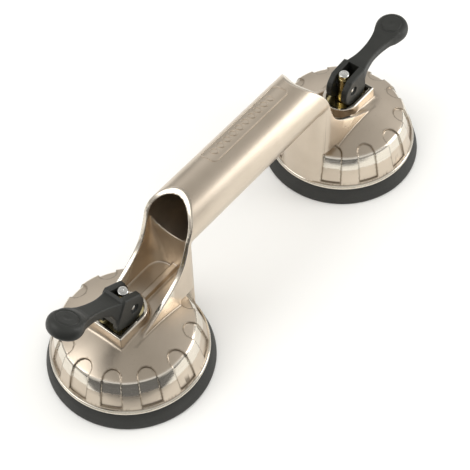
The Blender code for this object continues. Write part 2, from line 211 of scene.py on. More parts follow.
def surface(field, low, high, step, mirrored=()):
    """Vertices and quads of the field's zero surface, with a vertex in each grid cell that it crosses.

    A mirrored axis has its plane of symmetry at low, which lies halfway along the first cells.
    """
    low = np.array(low, float)
    for axis in mirrored:
        low[axis] -= step / 2
    counts = [4 * math.ceil((high[a] - low[a]) / step / 4) + 1 for a in range(3)]
    grid = sampled(field, low, counts, step)
    solid = grid < 0
    cells = np.full([c - 1 for c in counts], -1, np.int64)
    corner = [solid[i:counts[0] - 1 + i, j:counts[1] - 1 + j, k:counts[2] - 1 + k]
              for i in (0, 1) for j in (0, 1) for k in (0, 1)]
    total = sum(c.astype(np.int8) for c in corner)
    active = np.nonzero((total > 0) & (total < 8))
    cells[active] = np.arange(len(active[0]))
    origin = np.stack(active, -1)

    owner, crossing, quads = [], [], []
    for axis in range(3):
        b, c = (axis + 1) % 3, (axis + 2) % 3
        ends = [slice(None)] * 3
        starts = [slice(None)] * 3
        ends[axis], starts[axis] = slice(1, None), slice(None, -1)
        edge = np.nonzero(solid[tuple(starts)] != solid[tuple(ends)])
        place = np.stack(edge, -1)
        first = grid[edge].astype(float)
        ahead = place.copy()
        ahead[:, axis] += 1
        last = grid[tuple(ahead.T)].astype(float)
        point = place.astype(float)
        point[:, axis] += first / (first - last)
        ring = []
        for db, dc in ((0, 0), (-1, 0), (-1, -1), (0, -1)):
            near = place.copy()
            near[:, b] += db
            near[:, c] += dc
            inside = np.all((near >= 0) & (near < np.array(cells.shape)), axis=1)
            index = np.full(len(near), -1)
            index[inside] = cells[tuple(near[inside].T)]
            owner.append(index[inside])
            crossing.append(low + step * point[inside])
            ring.append(index)
        ring = np.stack(ring, -1)
        whole = np.all(ring >= 0, axis=1)
        flip = (first > 0)[whole]
        ring = ring[whole]
        ring[~flip] = ring[~flip][:, ::-1]
        quads.append(ring[:, ::-1])
    owner = np.concatenate(owner)
    crossing = np.concatenate(crossing)
    normal = gradient(field, crossing)
    count = np.bincount(owner, minlength=len(origin)).astype(float)[:, None]

    def gathered(values):
        return np.stack([np.bincount(owner, values[:, a], len(origin)) for a in range(3)], -1) / count

    middle = gathered(crossing)
    vertex = middle.copy()
    for _ in range(12):
        pull = normal * ((crossing - vertex[owner]) * normal).sum(1, keepdims=True)
        vertex += 1.6 * gathered(pull)
    floor = low + step * (origin - 0.1)
    vertex = np.clip(vertex, floor, floor + 1.2 * step)
    for axis in mirrored:
        flat = origin[:, axis] == 0
        vertex[flat, axis] = low[axis] + step / 2
    return vertex, np.concatenate(quads)


def reflected(vertices, quads, axis, plane):
    """The surface with its mirror image across a plane, joined along it."""
    other = vertices.copy()
    other[:, axis] = 2 * plane - other[:, axis]
    shared = np.abs(vertices[:, axis] - plane) < 1e-6
    index = np.where(shared, np.arange(len(vertices)), 0)
    index[~shared] = len(vertices) + np.arange((~shared).sum())
    return np.concatenate([vertices, other[~shared]]), np.concatenate([quads, index[quads][:, ::-1]])


def mesh_object(name, vertices, faces):
    mesh = bpy.data.meshes.new(name)
    faces = faces.tolist() if isinstance(faces, np.ndarray) else faces
    mesh.from_pydata((np.asarray(vertices) * MM).tolist(), [], faces)
    obj = bpy.data.objects.new(name, mesh)
    bpy.context.collection.objects.link(obj)
    return obj


def thinned(obj, faces):
    """Fewer triangles where the surface is flat."""
    bpy.context.view_layer.objects.active = obj
    modifier = obj.modifiers.new("fewer", "DECIMATE")
    triangles = sum(len(p.vertices) - 2 for p in obj.data.polygons)
    modifier.ratio = min(1.0, faces / triangles)
    bpy.ops.object.modifier_apply(modifier=modifier.name)


def shade_from(obj, field, zones=None, place=None):
    """Smooth shading with the field's own normals, and each zone as an attribute.

    The mesh is in the field's frame, and place then moves it into the row frame.
    """
    mesh = obj.data
    points = np.empty(len(mesh.vertices) * 3)
    mesh.vertices.foreach_get("co", points)
    points = points.reshape(-1, 3) / MM
    normals = gradient(field, points, 0.15)
    if place:
        mesh.transform(place)
        normals = normals @ np.array(place.to_3x3()).T
    mesh.shade_smooth()
    mesh.normals_split_custom_set_from_vertices(normals.tolist())
    for label, zone in (zones or {}).items():
        attribute = mesh.attributes.new(label, "FLOAT", "POINT")
        attribute.data.foreach_set("value", zone(points).astype(np.float32))


# Body casting

def cup_frame(p):
    """Distance from the cup's axis outwards and across, height, and radius."""
    u = np.abs(p[:, 0] - HANDLE_X) - HALF_SPACING
    v = np.abs(p[:, 1])
    return u, v, p[:, 2], np.hypot(u, v)


def dome_field(r, z):
    slope = 2 * DOME_FALL * r / CHAMFER_TOP[0] ** 2
    return (z - DOME_TOP + DOME_FALL * (r / CHAMFER_TOP[0]) ** 2) / np.sqrt(1 + slope ** 2)


def shell_field(r, z):
    """The cup's outside: domed top, chamfer and wall."""
    chamfer = line_side(r, z, CHAMFER_TOP, CHAMFER_FOOT)
    wall = line_side(r, z, CHAMFER_FOOT, WALL_FOOT)
    return smax(smax(dome_field(r, z), chamfer, 1.3), wall, 0.7)


def flute_plan(u, v):
    cos, sin = math.cos(FLUTE_HALF_ANGLE), math.sin(FLUTE_HALF_ANGLE)
    nearest = np.full(u.shape, np.inf)
    for angle in map(math.radians, FLUTE_ANGLES):
        along = u * math.cos(angle) + v * math.sin(angle)
        across = np.abs(v * math.cos(angle) - u * math.sin(angle))
        end = np.hypot(along - FLUTE_ROUND_CENTRE, across) - FLUTE_ROUND_CENTRE * sin
        sides = across * cos - along * sin
        rounded = along * cos + across * sin < FLUTE_ROUND_CENTRE * cos
        nearest = np.minimum(nearest, np.where(rounded, end, sides))
    return nearest


def boss_plan(u, v):
    straight = smax(v - BOSS_HALF_WIDTH, u - BOSS_END, 0.8)
    return np.where(u < BOSS_ROUND_CENTRE, np.hypot(u - BOSS_ROUND_CENTRE, v) - BOSS_HALF_WIDTH, straight)


def pillar_plan(u, v):
    """U-shaped: flat sides, rounded corners, and a hand side that follows the cup."""
    cv = PILLAR_HALF_WIDTH - PILLAR_CORNER
    cu = -math.sqrt((PILLAR_RADIUS - PILLAR_CORNER) ** 2 - cv ** 2)
    corner = np.hypot(u - cu, v - cv) - PILLAR_CORNER
    back = np.hypot(u, v) - PILLAR_RADIUS
    in_corner = (v - cv) * -cu > (cu - u) * cv
    return np.where(u > cu, v - PILLAR_HALF_WIDTH, np.where(in_corner, corner, back))


EDGE_U, EDGE_Z = np.array(MOUTH_EDGE).T
EDGE_TABLE = np.linspace(EDGE_Z[0], EDGE_Z[-1], 200)


def smooth_edge():
    """The mouth's edge as a smooth table of u against height."""
    table = np.interp(EDGE_TABLE, EDGE_Z, EDGE_U)
    kernel = np.hanning(31)
    kernel /= kernel.sum()
    padded = np.pad(table, 15, mode="reflect", reflect_type="odd")
    return np.convolve(padded, kernel, mode="valid")


EDGE_SMOOTH = smooth_edge()
EDGE_SLOPE = np.gradient(EDGE_SMOOTH, EDGE_TABLE)


def mouth_field(u, z):
    """Positive outside the skirt's sweeping edge."""
    inside = np.clip(z, EDGE_Z[0], EDGE_Z[-1])
    slope = np.interp(inside, EDGE_TABLE, EDGE_SLOPE)
    edge = np.interp(inside, EDGE_TABLE, EDGE_SMOOTH) + (z - inside) * slope
    return (u - edge) / np.sqrt(1 + slope ** 2)


def cup_field(u, v, z, r, side):
    hub = smax(r - HUB_RADIUS, HUB_BOTTOM - z, 1.0)
    hollow = smax(side + SHELL, -hub, 1.5)
    cup = smax(smax(side, FLANGE_BOTTOM + 1.4 - z, 0.3), -hollow, 0.4)
    plan = boss_plan(u, v)
    drafted = plan + 0.07 * (z - BOSS_TOP)
    boss = smax(smax(drafted, z - BOSS_TOP, 0.7), DOME_TOP - SHELL - z, 0.3)
    cup = smin(cup, boss, 2.2)
    pocket = smax(plan + BOSS_WALL, POCKET_FLOOR - z, 0.5)
    return smax(smax(cup, -pocket, 0.6), BUSH_BORE - r, 0.4)


def spine_field(u, v, z, r, side):
    """Handle tube, pillars and skirt walls."""
    around = np.hypot(v, z - HANDLE_AXIS)
    pillar = smax(pillar_plan(u, v), z - HANDLE_AXIS, 0.3)
    spine = smin(around - TUBE_RADIUS, pillar, 1.6)
    spine = smax(spine, FLANGE_BOTTOM + 0.6 - z, 0.3)
    spine = smax(smax(spine, -(side + SHELL / 2), 0.3), u - SKIRT_END, 0.3)
    corner = np.interp(z, *TROUGH_CORNER)
    trough = smax(smax(v - TROUGH_HALF_WIDTH, r - TROUGH_BACK, corner), TROUGH_FLOOR - z, 1.6)
    trough = smax(trough, z - HANDLE_AXIS, 0.4)
    spine = smax(spine, -smin(around - BORE_RADIUS, trough, 0.4), 0.7)
    return smax(spine, mouth_field(u, z), 0.8)


def body_field(p):
    u, v, z, r = cup_frame(p)
    side = shell_field(r, z)
    body = smin(cup_field(u, v, z, r, side), spine_field(u, v, z, r, side), 0.9)
    rib = smax(v - RIB["half_width"], z - RIB["top"], 0.8)
    rib = smax(smax(rib, RIB["ends"][0] - u, 0.3), u - RIB["ends"][1], 0.3)
    body = smin(body, smax(rib, TROUGH_FLOOR - SHELL / 2 - z, 0.3), 0.9)
    kept = smin(-flute_plan(u, v), side + FLUTE_DEPTH, 0.35)
    kept = np.minimum(kept, np.minimum(z - FLUTE_BOTTOM, FLUTE_TOP - z))
    return smax(body, kept, 0.4)


def body_polish(p):
    """1 on the surfaces that are ground bright: chamfer band, mouth edge, boss rim."""
    u, v, z, r = cup_frame(p)
    chamfer = line_side(r, z, CHAMFER_TOP, CHAMFER_FOOT)
    wall = line_side(r, z, CHAMFER_FOOT, WALL_FOOT)
    dome = dome_field(r, z)
    band = (chamfer > -1.9) & (chamfer < 0.5) & (chamfer > wall - 0.1) & (chamfer > dome - 0.6)
    edge = (np.abs(mouth_field(u, z)) < 0.5) & (v < PILLAR_HALF_WIDTH + 1) & (z > DOME_TOP - 4)
    rim = (z > BOSS_TOP - 0.5) & (boss_plan(u, v) > -BOSS_WALL - 0.5) & (r < 32)
    return np.maximum((band | rim).astype(float), 0.6 * edge * np.clip((z - 50) / 12, 0, 1))


def body_painted_shade(p):
    """Painted shade: 1 along the flutes' edges, the lines where skirt and boss meet the dome, the foot of the
    wall, the trough's back corner and the boss's pocket, where the base colour is darkened to stand in for the
    shade in these creases and recesses.
    """
    u, v, z, r = cup_frame(p)
    side = shell_field(r, z)
    outside = side > -FLUTE_DEPTH - 0.6
    flutes = np.clip(1 - np.abs(flute_plan(u, v) - 0.15) / 0.75, 0, 1) * (z > FLUTE_BOTTOM - 0.5)
    flutes *= outside & (side < 0.4) & (z < FLUTE_TOP + 1)
    ends = np.clip(1 - np.abs(z - FLUTE_BOTTOM) / 0.7, 0, 1) * (flute_plan(u, v) < 0.4) * outside
    on_dome = (side > -1) & (side < 1.6) & (z > CHAMFER_TOP[1] - 6)
    skirt = np.clip(1 - np.abs(pillar_plan(u, v) - 0.6) / 1.1, 0, 1) * on_dome * (u < SKIRT_END)
    boss = np.clip(1 - np.abs(boss_plan(u, v) - 1.2) / 1.4, 0, 1) * on_dome
    foot = np.clip(1 - np.abs(z - FLANGE_TOP) / 0.9, 0, 1) * (np.abs(r - WALL_FOOT[0]) < 0.6)
    inner = np.clip(1 - np.abs(r - TROUGH_BACK - 0.3) / 1.2, 0, 1)
    inner *= (z < TROUGH_FLOOR + 1.2) & (z > TROUGH_FLOOR - 0.5)
    pocket = (boss_plan(u, v) < -BOSS_WALL + 0.3) & (z < BOSS_TOP - 0.9) & (z > POCKET_FLOOR - 1)
    lines = [flutes, ends, 0.6 * skirt, 0.6 * boss, foot, 0.6 * inner * (u < -20), 0.7 * pocket]
    return np.max(lines, axis=0)


def build_body():
    low = (HANDLE_X, 0.0, FLANGE_BOTTOM - 2)
    high = (HANDLE_X + HALF_SPACING + FLANGE_RADIUS + 2, FLANGE_RADIUS + 2, HANDLE_AXIS + TUBE_RADIUS + 2)
    vertices, quads = surface(body_field, low, high, BODY_STEP, mirrored=(0, 1))
    vertices, quads = reflected(vertices, quads, 0, low[0])
    vertices, quads = reflected(vertices, quads, 1, low[1])
    body = mesh_object("cast_body", vertices, quads)
    thinned(body, BODY_FACES)
    # The crevice zone is painted shade: it darkens the base colour in creases and recesses.
    shade_from(body, body_field, {"polish": body_polish, "painted_shade": body_painted_shade})
    finish(body, "cast_nickel")
    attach(body, "root")
    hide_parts("body_casting")


def build_flange(key):
    """Edge of the cup: a lip, a fine groove and the band that sits on the pad."""
    outline = [(50.6, FLANGE_BOTTOM), (53.1, FLANGE_BOTTOM), (53.5, 12.85), (FLANGE_RADIUS, 13.2)]
    outline += [(FLANGE_RADIUS, 14.2), (53.5, 14.4), (53.15, 14.5), (53.15, 14.8), (53.4, 14.92), (53.45, 15.4)]
    outline += [(53.2, 15.8), (52.8, FLANGE_TOP), (51.6, FLANGE_TOP), (50.6, 15.5)]
    piece = lathe("flange_" + key, outline, 144, CUP_X[key])
    attribute = piece.data.attributes.new("polish", "FLOAT", "POINT")
    attribute.data.foreach_set("value", np.ones(len(piece.data.vertices), np.float32))
    finish(piece, "cast_nickel")
    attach(piece, "root")
    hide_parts("body_casting")


# Cartouche on the handle: a plain outline and a row of lozenges

CARTOUCHE = dict(x=(-27.0, 50.0), angle=76.0, half=7.0, corner=3.0, height=0.42, pitch=6.4)


def on_tube(x, s, lift):
    """A point x along the handle and s round it from the cartouche's middle line."""
    angle = math.radians(CARTOUCHE["angle"]) - s / TUBE_RADIUS
    radius = TUBE_RADIUS + lift
    return (HANDLE_X + x, radius * math.cos(angle), HANDLE_AXIS + radius * math.sin(angle))


def ridge_loop(path, width, height):
    """A low rounded ridge along a closed path on the tube."""
    section = [(-width, -0.25), (-width * 0.75, height * 0.6), (0, height), (width * 0.75, height * 0.6),
               (width, -0.25)]
    count, size = len(path), len(section)
    vertices, faces = [], []
    for i, here in enumerate(path):
        along = np.array(path[(i + 1) % count]) - np.array(path[i - 1])
        across = np.array([-along[1], along[0]]) / np.linalg.norm(along)
        for offset, lift in section:
            vertices.append(on_tube(here[0] + across[0] * offset, here[1] + across[1] * offset, lift))
        for j in range(size):
            a, b = i * size + j, i * size + (j + 1) % size
            shift = (i + 1) % count * size
            faces.append((a, b, shift + (j + 1) % size, shift + j))
    return vertices, faces


def rounded_path(x0, x1, half, corner, steps):
    path = []
    for cx, cs, start in ((x1 - corner, half - corner, 0), (x0 + corner, half - corner, 90),
                          (x0 + corner, corner - half, 180), (x1 - corner, corner - half, 270)):
        for i in range(steps + 1):
            a = math.radians(start + 90 * i / steps)
            path.append((cx + corner * math.cos(a), cs + corner * math.sin(a)))
    dense = []
    for here, there in zip(path, path[1:] + path[:1]):
        pieces = max(1, int(math.dist(here, there) / 1.5))
        dense += [(here[0] + (there[0] - here[0]) * i / pieces, here[1] + (there[1] - here[1]) * i / pieces)
                  for i in range(pieces)]
    return dense


def build_cartouche():
    x0, x1 = CARTOUCHE["x"]
    height, pitch = CARTOUCHE["height"], CARTOUCHE["pitch"]
    loops = [ridge_loop(rounded_path(x0, x1, CARTOUCHE["half"], CARTOUCHE["corner"], 6), 0.6, height)]
    for i in range(int((x1 - x0 - 8) / pitch)):
        centre = x0 + 7.5 + pitch * i
        lozenge = [(centre + 2.1 * math.cos(a), 3.2 * math.sin(a)) for a in np.linspace(0, math.tau, 17)[:-1]]
        loops.append(ridge_loop(lozenge, 0.55, height))
    vertices, faces = [], []
    for points, quads in loops:
        faces += [tuple(len(vertices) + i for i in quad) for quad in quads]
        vertices += points
    piece = mesh_object("handle_cartouche", vertices, faces)
    outward(piece)
    finish(piece, "cast_nickel")
    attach(piece, "root")
    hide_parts("body_casting")


def outward(obj, angle=35):
    """Faces turned out, and smooth shading with sharp edges kept."""
    bm = bmesh.new()
    bm.from_mesh(obj.data)
    bmesh.ops.recalc_face_normals(bm, faces=bm.faces)
    bm.to_mesh(obj.data)
    bm.free()
    obj.data.shade_smooth()
    obj.data.set_sharp_from_angle(angle=math.radians(angle))


# Turned pieces

def lathe(name, outline, steps, x, y=0.0, z=0.0):
    """A solid turned about Z from an outline that runs from the axis round and back to it."""
    inner = [p for p in outline if p[0] > 1e-6]
    closed = len(inner) == len(outline)
    vertices, faces = [], []
    for i in range(steps):
        a = math.tau * i / steps
        vertices += [(x + r * math.cos(a), y + r * math.sin(a), z + h) for r, h in inner]
    size = len(inner)
    for i in range(steps):
        here, there = i * size, (i + 1) % steps * size
        for j in range(size if closed else size - 1):
            k = (j + 1) % size
            faces.append((here + j, there + j, there + k, here + k))
    if not closed:
        for index, (_, h) in ((0, outline[0]), (size - 1, outline[-1])):
            vertices.append((x, y, z + h))
            faces += [(len(vertices) - 1, i * size + index, (i + 1) % steps * size + index)
                      for i in range(steps)]
    mesh = bpy.data.meshes.new(name)
    mesh.from_pydata([[c * MM for c in v] for v in vertices], [], faces)
    obj = bpy.data.objects.new(name, mesh)
    bpy.context.collection.objects.link(obj)
    outward(obj)
    return obj


def build_pad(key):
    """Rubber pad: a thick rim under the flange, and a middle whose top is set once to the stud's height at the
    lever's rest angle.
    """
    x = CUP_X[key]
    drop = (CAM_LOCKED - CAM_OPEN) * (REST[key] - LOCKED_ANGLE) / (OPEN_ANGLE - LOCKED_ANGLE)
    top = 10.4 - drop
    rim = [(WEB_EDGE, 1.6), (WEB_EDGE, 10.6), (41, PAD_TOP - 0.3), (41.6, PAD_TOP), (FLANGE_RADIUS - 1.0, PAD_TOP)]
    rim += [(FLANGE_RADIUS - 0.2, PAD_TOP - 0.25), (FLANGE_RADIUS + 0.4, PAD_TOP - 1.0), (54.9, 9.6), (55.5, 8.0)]
    rim += [(55.9, 6.4), (56.4, 4.8), (56.8, 3.4), (PAD_RADIUS, 2.2), (PAD_RADIUS, 1.2), (56.8, 0.5)]
    rim += [(56.3, 0.1), (55.6, 0), (51, 0), (50.6, 0.5), (50.0, 0.5), (49.6, 0), (46, 0), (45.6, 0.5)]
    rim += [(45.0, 0.5), (44.6, 0)]
    piece = lathe("pad_rim_" + key, rim, 144, x)
    finish(piece, "rubber")
    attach(piece, "root")
    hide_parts("suction_pad_" + key)
    web = [(0, top), (27, top), (29, top - 0.3), (33, 8.2), (36, 7.2), (WEB_EDGE - 0.3, 9.8)]
    web += [(WEB_EDGE - 0.3, 1.7), (32, 2.6 - 0.6 * drop), (24, 3.2 - drop), (12, 3.7 - drop), (0, 3.9 - drop)]
    piece = lathe("pad_web_" + key, web, 96, x)
    finish(piece, "rubber")
    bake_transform(piece)
    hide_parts("suction_pad_" + key)


def build_spring(key):
    """Coil spring with closed ends, stretched between the stud's nut and the seat washer."""
    low, high = (corner.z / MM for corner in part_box("release_spring_" + key))
    low, high = low + SPRING_WIRE, high - SPRING_WIRE
    steps, sides = 40, 10
    reach = 1.9 * SPRING_WIRE * SPRING_CLOSED
    count = round(SPRING_TURNS * steps)
    bends = (0, SPRING_CLOSED, SPRING_TURNS - SPRING_CLOSED, SPRING_TURNS)
    rises = (low, low + reach, high - reach, high)
    vertices, faces = [], []
    for i in range(count + 1):
        turn = i / steps
        rise = float(np.interp(turn, bends, rises))
        angle = math.tau * turn
        for j in range(sides):
            a = math.tau * j / sides
            radius = SPRING_RADIUS + SPRING_WIRE * math.cos(a)
            vertices.append((CUP_X[key] + radius * math.cos(angle), radius * math.sin(angle),
                             rise + SPRING_WIRE * math.sin(a)))
    for i in range(count):
        for j in range(sides):
            k = (j + 1) % sides
            faces.append((i * sides + j, i * sides + k, (i + 1) * sides + k, (i + 1) * sides + j))
    faces += [tuple(range(sides)), tuple(range(count * sides, (count + 1) * sides))]
    piece = mesh_object("spring_" + key, vertices, faces)
    outward(piece, 50)
    finish(piece, "spring_steel")
    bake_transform(piece)
    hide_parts("release_spring_" + key)


def build_stud(key):
    """Plated pull stud: turned top with a centre mark, and a groove below it."""
    x = CUP_X[key]
    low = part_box("pull_stud_" + key)[0].z / MM
    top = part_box("pull_stud_" + key)[1].z / MM
    r = STUD_RADIUS
    outline = [(0, low), (r - 0.6, low), (r, low + 0.6), (r, top - 4.2), (r - 0.25, top - 4.0)]
    outline += [(r - 0.25, top - 3.4), (r, top - 3.2), (r, top - 0.9), (r - 0.35, top - 0.3), (r - 1.0, top)]
    outline += [(r - 1.5, top), (r - 1.65, top - 0.25), (r - 1.95, top - 0.25), (r - 2.1, top), (0.9, top)]
    outline += [(0, top - 0.7)]
    piece = lathe("stud_" + key, outline, 48, x)
    finish(piece, "zinc_yellow", "bright_steel", top - 0.95)
    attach(piece, "stud_" + key)
    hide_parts("pull_stud_" + key)


def build_pin(key):
    """Pivot pin with domed, chamfered ends."""
    x, _, pivot = PIVOTS[key]
    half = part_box("pivot_pin_" + key)[1].y / MM
    r = PIN_RADIUS
    end = [(0, half), (0.9, half - 0.05), (1.6, half - 0.25), (2.1, half - 0.6), (r, half - 1.2)]
    outline = end + [(a, -h) for a, h in end[::-1]]
    piece = lathe("pin_" + key, outline, 40, 0)
    piece.data.transform(Matrix.Translation((x * MM, 0, pivot * MM))
                         @ Matrix.Rotation(math.radians(90), 4, "X"))
    outward(piece)
    finish(piece, "bright_steel")
    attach(piece, "stud_" + key)
    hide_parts("pivot_pin_" + key)


# Cam lever

def cam_heel():
    """The cam's edge, whose reach under the pivot falls evenly as the lever goes up."""
    span = math.radians(OPEN_ANGLE - LOCKED_ANGLE)
    fall = (CAM_LOCKED - CAM_OPEN) / span
    points = []
    for i in range(17):
        lift = span * i / 16
        normal = math.radians(-90 - LOCKED_ANGLE) - lift
        reach = CAM_LOCKED - fall * lift
        points.append((reach * math.cos(normal) - fall * math.sin(normal),
                       reach * math.sin(normal) + fall * math.cos(normal)))
    return points


def lever_outline():
    slope = math.radians(LOCKED_ANGLE)
    heel = cam_heel()
    toe = (heel[0][0] + 9.5 * math.cos(slope), heel[0][1] - 9.5 * math.sin(slope))
    outline = heel + [(-9.2, 0.4), (-8.6, 3.2), (-7.2, 5.7), (-5.2, 7.6), (-3.4, 9.2), (-2, 10.8)]
    outline += [(ARM_START - 1, 10.8), (ARM_START, 8.6), (24, 8.2), (KNOB_REACH - 16, 8.6)]
    outline += [(KNOB_REACH - 10, KNOB_TOP - 1.0), (KNOB_REACH, KNOB_TOP - 1.0), (KNOB_REACH, 0.6)]
    outline += [(KNOB_REACH - 14, 0.8), (28, 1.2), (20, -0.6), (15.4, -5.0), (13.0, -10.5), toe]
    return outline


LEVER_OUTLINE = lever_outline()


def arm_plan(x, y):
    """The lever from above, without its knob: waisted arm and fork."""
    t = np.clip((x - ARM_START) / (KNOB_REACH - 8 - ARM_START), 0, 1)
    half = 8.0 * (1 - t) + 8.6 * t - 11.5 * t * (1 - t)
    arm = np.maximum(y - half, np.maximum(ARM_START - 3 - x, x - KNOB_REACH + 5))
    fork = np.maximum(y - FORK_HALF_WIDTH, x - ARM_START + 0.8)
    return smin(arm, fork, 0.8)


def lever_field(p):
    x, y, z = p[:, 0], np.abs(p[:, 1]), p[:, 2]
    lever = smax(polygon_field(x, z, LEVER_OUTLINE), arm_plan(x, y), 1.5)
    from_knob = np.hypot(x - KNOB_REACH, y)
    knob = smax(from_knob - KNOB_RADIUS, np.abs(z - (KNOB_TOP + KNOB_UNDERSIDE) / 2)
                - (KNOB_TOP - KNOB_UNDERSIDE) / 2, 6.0)
    lever = smin(lever, knob, 2.5)
    ring = np.abs(np.hypot(from_knob - 7.6, z - KNOB_TOP - 0.15)) - 0.75
    centre = np.hypot(from_knob, z - KNOB_TOP - 5.0) - 5.5
    lever = smax(lever, -smin(ring, centre, 0.3), 0.4)
    slot = np.maximum(y - SLOT_HALF_WIDTH, x - 13)
    lever = smax(lever, -slot, 0.8)
    eye = np.hypot(x, z)
    recess = np.maximum(eye - 3.5, FORK_HALF_WIDTH - 1.4 - y)
    return smax(smax(lever, -recess, 0.4), PIN_RADIUS + 0.25 - eye, 0.2)


def build_levers():
    end = KNOB_REACH + KNOB_RADIUS + 1
    # The corner is off round numbers, so that no flat face of the lever lies on a plane of grid points.
    low, high = (-12.17, 0, -16.23), (end, KNOB_RADIUS + 1, 13)
    vertices, quads = surface(lever_field, low, high, LEVER_STEP, mirrored=(1,))
    vertices, quads = reflected(vertices, quads, 1, 0.0)
    for key in SIDE:
        lever = mesh_object("lever_" + key + "_arm", vertices, quads)
        thinned(lever, LEVER_FACES)
        x, _, pivot = PIVOTS[key]
        turn = Matrix.Rotation(0 if SIDE[key] > 0 else math.pi, 4, "Z")
        tilt = Matrix.Rotation(-math.radians(REST[key]), 4, "Y")
        shade_from(lever, lever_field, place=Matrix.Translation((x * MM, 0, pivot * MM)) @ turn @ tilt)
        finish(lever, "lever_plastic")
        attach(lever, "lever_" + key)
        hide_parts("cam_lever_" + key)


# Materials

class Nodes:
    """Short calls for building one material."""

    def __init__(self, name):
        self.material = bpy.data.materials.new(name)
        self.material.use_nodes = True
        self.tree = self.material.node_tree
        self.shader = self.tree.nodes["Principled BSDF"]
        self.place = self.add("ShaderNodeTexCoord").outputs["Object"]

    def add(self, kind, **settings):
        node = self.tree.nodes.new(kind)
        for key, value in settings.items():
            setattr(node, key, value)
        return node

    def join(self, source, target):
        self.tree.links.new(source, target)

    def noise(self, scale, detail=3.0, stretch=None, rough=0.55):
        node = self.add("ShaderNodeTexNoise")
        node.inputs["Scale"].default_value = scale
        node.inputs["Detail"].default_value = detail
        node.inputs["Roughness"].default_value = rough
        source = self.place
        if stretch:
            mapping = self.add("ShaderNodeMapping")
            mapping.inputs["Scale"].default_value = stretch
            self.join(self.place, mapping.inputs["Vector"])
            source = mapping.outputs["Vector"]
        self.join(source, node.inputs["Vector"])
        return node.outputs["Fac"]

    def ramp(self, source, stops):
        node = self.add("ShaderNodeValToRGB")
        elements = node.color_ramp.elements
        while len(elements) < len(stops):
            elements.new(0.5)
        for element, (where, colour) in zip(elements, stops):
            element.position = where
            element.color = (*colour, 1.0) if len(colour) == 3 else colour
        self.join(source, node.inputs["Fac"])
        return node.outputs["Color"]

    def spread(self, source, low, high, start=0.3, end=0.7):
        """source from start to end, as a value from low to high."""
        node = self.add("ShaderNodeMapRange")
        node.inputs["From Min"].default_value = start
        node.inputs["From Max"].default_value = end
        node.inputs["To Min"].default_value = low
        node.inputs["To Max"].default_value = high
        self.join(source, node.inputs["Value"])
        return node.outputs["Result"]

    def mix(self, factor, a, b, blend="MIX"):
        node = self.add("ShaderNodeMix", data_type="RGBA", blend_type=blend)
        for socket, value in ((0, factor), (6, a), (7, b)):
            if hasattr(value, "is_output"):
                self.join(value, node.inputs[socket])
            else:
                node.inputs[socket].default_value = value
        return node.outputs[2]

    def blend(self, factor, a, b):
        node = self.add("ShaderNodeMix", data_type="FLOAT")
        for socket, value in ((0, factor), (2, a), (3, b)):
            if hasattr(value, "is_output"):
                self.join(value, node.inputs[socket])
            else:
                node.inputs[socket].default_value = value
        return node.outputs[0]

    def bump(self, source, distance, strength=1.0):
        node = self.add("ShaderNodeBump")
        node.inputs["Strength"].default_value = strength
        node.inputs["Distance"].default_value = distance
        self.join(source, node.inputs["Height"])
        self.join(node.outputs["Normal"], self.shader.inputs["Normal"])

    def set(self, **values):
        for key, value in values.items():
            socket = self.shader.inputs[key.replace("_", " ").title().replace("Ior", "IOR")]
            if hasattr(value, "is_output"):
                self.join(value, socket)
            else:
                socket.default_value = value
        return self.material


def cast_nickel(name):
    """Satin nickel over a casting, warm, with the ground zones brighter and streaked, and painted shade darkening
    the creases.
    """
    n = Nodes(name)
    polish = n.add("ShaderNodeAttribute", attribute_name="polish").outputs["Fac"]
    cloud = n.noise(38, 4)
    grain = n.noise(900, 5, rough=0.7)
    streak = n.noise(120, 3, stretch=(1, 1, 26))
    satin = n.ramp(cloud, [(0.3, (0.62, 0.535, 0.435)), (0.7, (0.69, 0.60, 0.495))])
    bright = n.ramp(streak, [(0.3, (0.70, 0.64, 0.55)), (0.7, (0.84, 0.79, 0.70))])
    rough = n.spread(grain, 0.27, 0.37)
    shiny = n.spread(streak, 0.10, 0.20)
    # Painted shade: the crevice attribute multiplies the base colour darker along creases and recesses.
    painted_shade = n.add("ShaderNodeAttribute", attribute_name="painted_shade").outputs["Fac"]
    shade = n.ramp(painted_shade, [(0.0, (1, 1, 1)), (1.0, (0.36, 0.33, 0.29))])
    n.bump(grain, 0.00003, 0.35)
    return n.set(base_color=n.mix(1.0, n.mix(polish, satin, bright), shade, "MULTIPLY"), metallic=1.0,
                 roughness=n.blend(polish, rough, shiny))


def rubber(name):
    n = Nodes(name)
    fine = n.noise(1400, 4)
    cloud = n.noise(45, 3)
    n.bump(fine, 0.00008, 0.5)
    return n.set(base_color=n.ramp(cloud, [(0.3, (0.022, 0.022, 0.020)), (0.7, (0.030, 0.030, 0.027))]),
                 roughness=n.spread(fine, 0.55, 0.72))


def lever_plastic(name):
    n = Nodes(name)
    fine = n.noise(1500, 4)
    cloud = n.noise(60, 3)
    n.bump(fine, 0.00006, 0.4)
    return n.set(base_color=n.ramp(cloud, [(0.3, (0.017, 0.018, 0.016)), (0.7, (0.025, 0.026, 0.023))]),
                 roughness=n.spread(fine, 0.42, 0.55))


def turned_metal(name, dark, light, low, high):
    """Metal with fine turning lines round Z."""
    n = Nodes(name)
    lines = n.noise(160, 3, stretch=(1, 1, 40))
    cloud = n.noise(70, 3)
    n.bump(lines, 0.00004, 0.4)
    return n.set(base_color=n.ramp(cloud, [(0.3, dark), (0.7, light)]), metallic=1.0,
                 roughness=n.spread(lines, low, high))


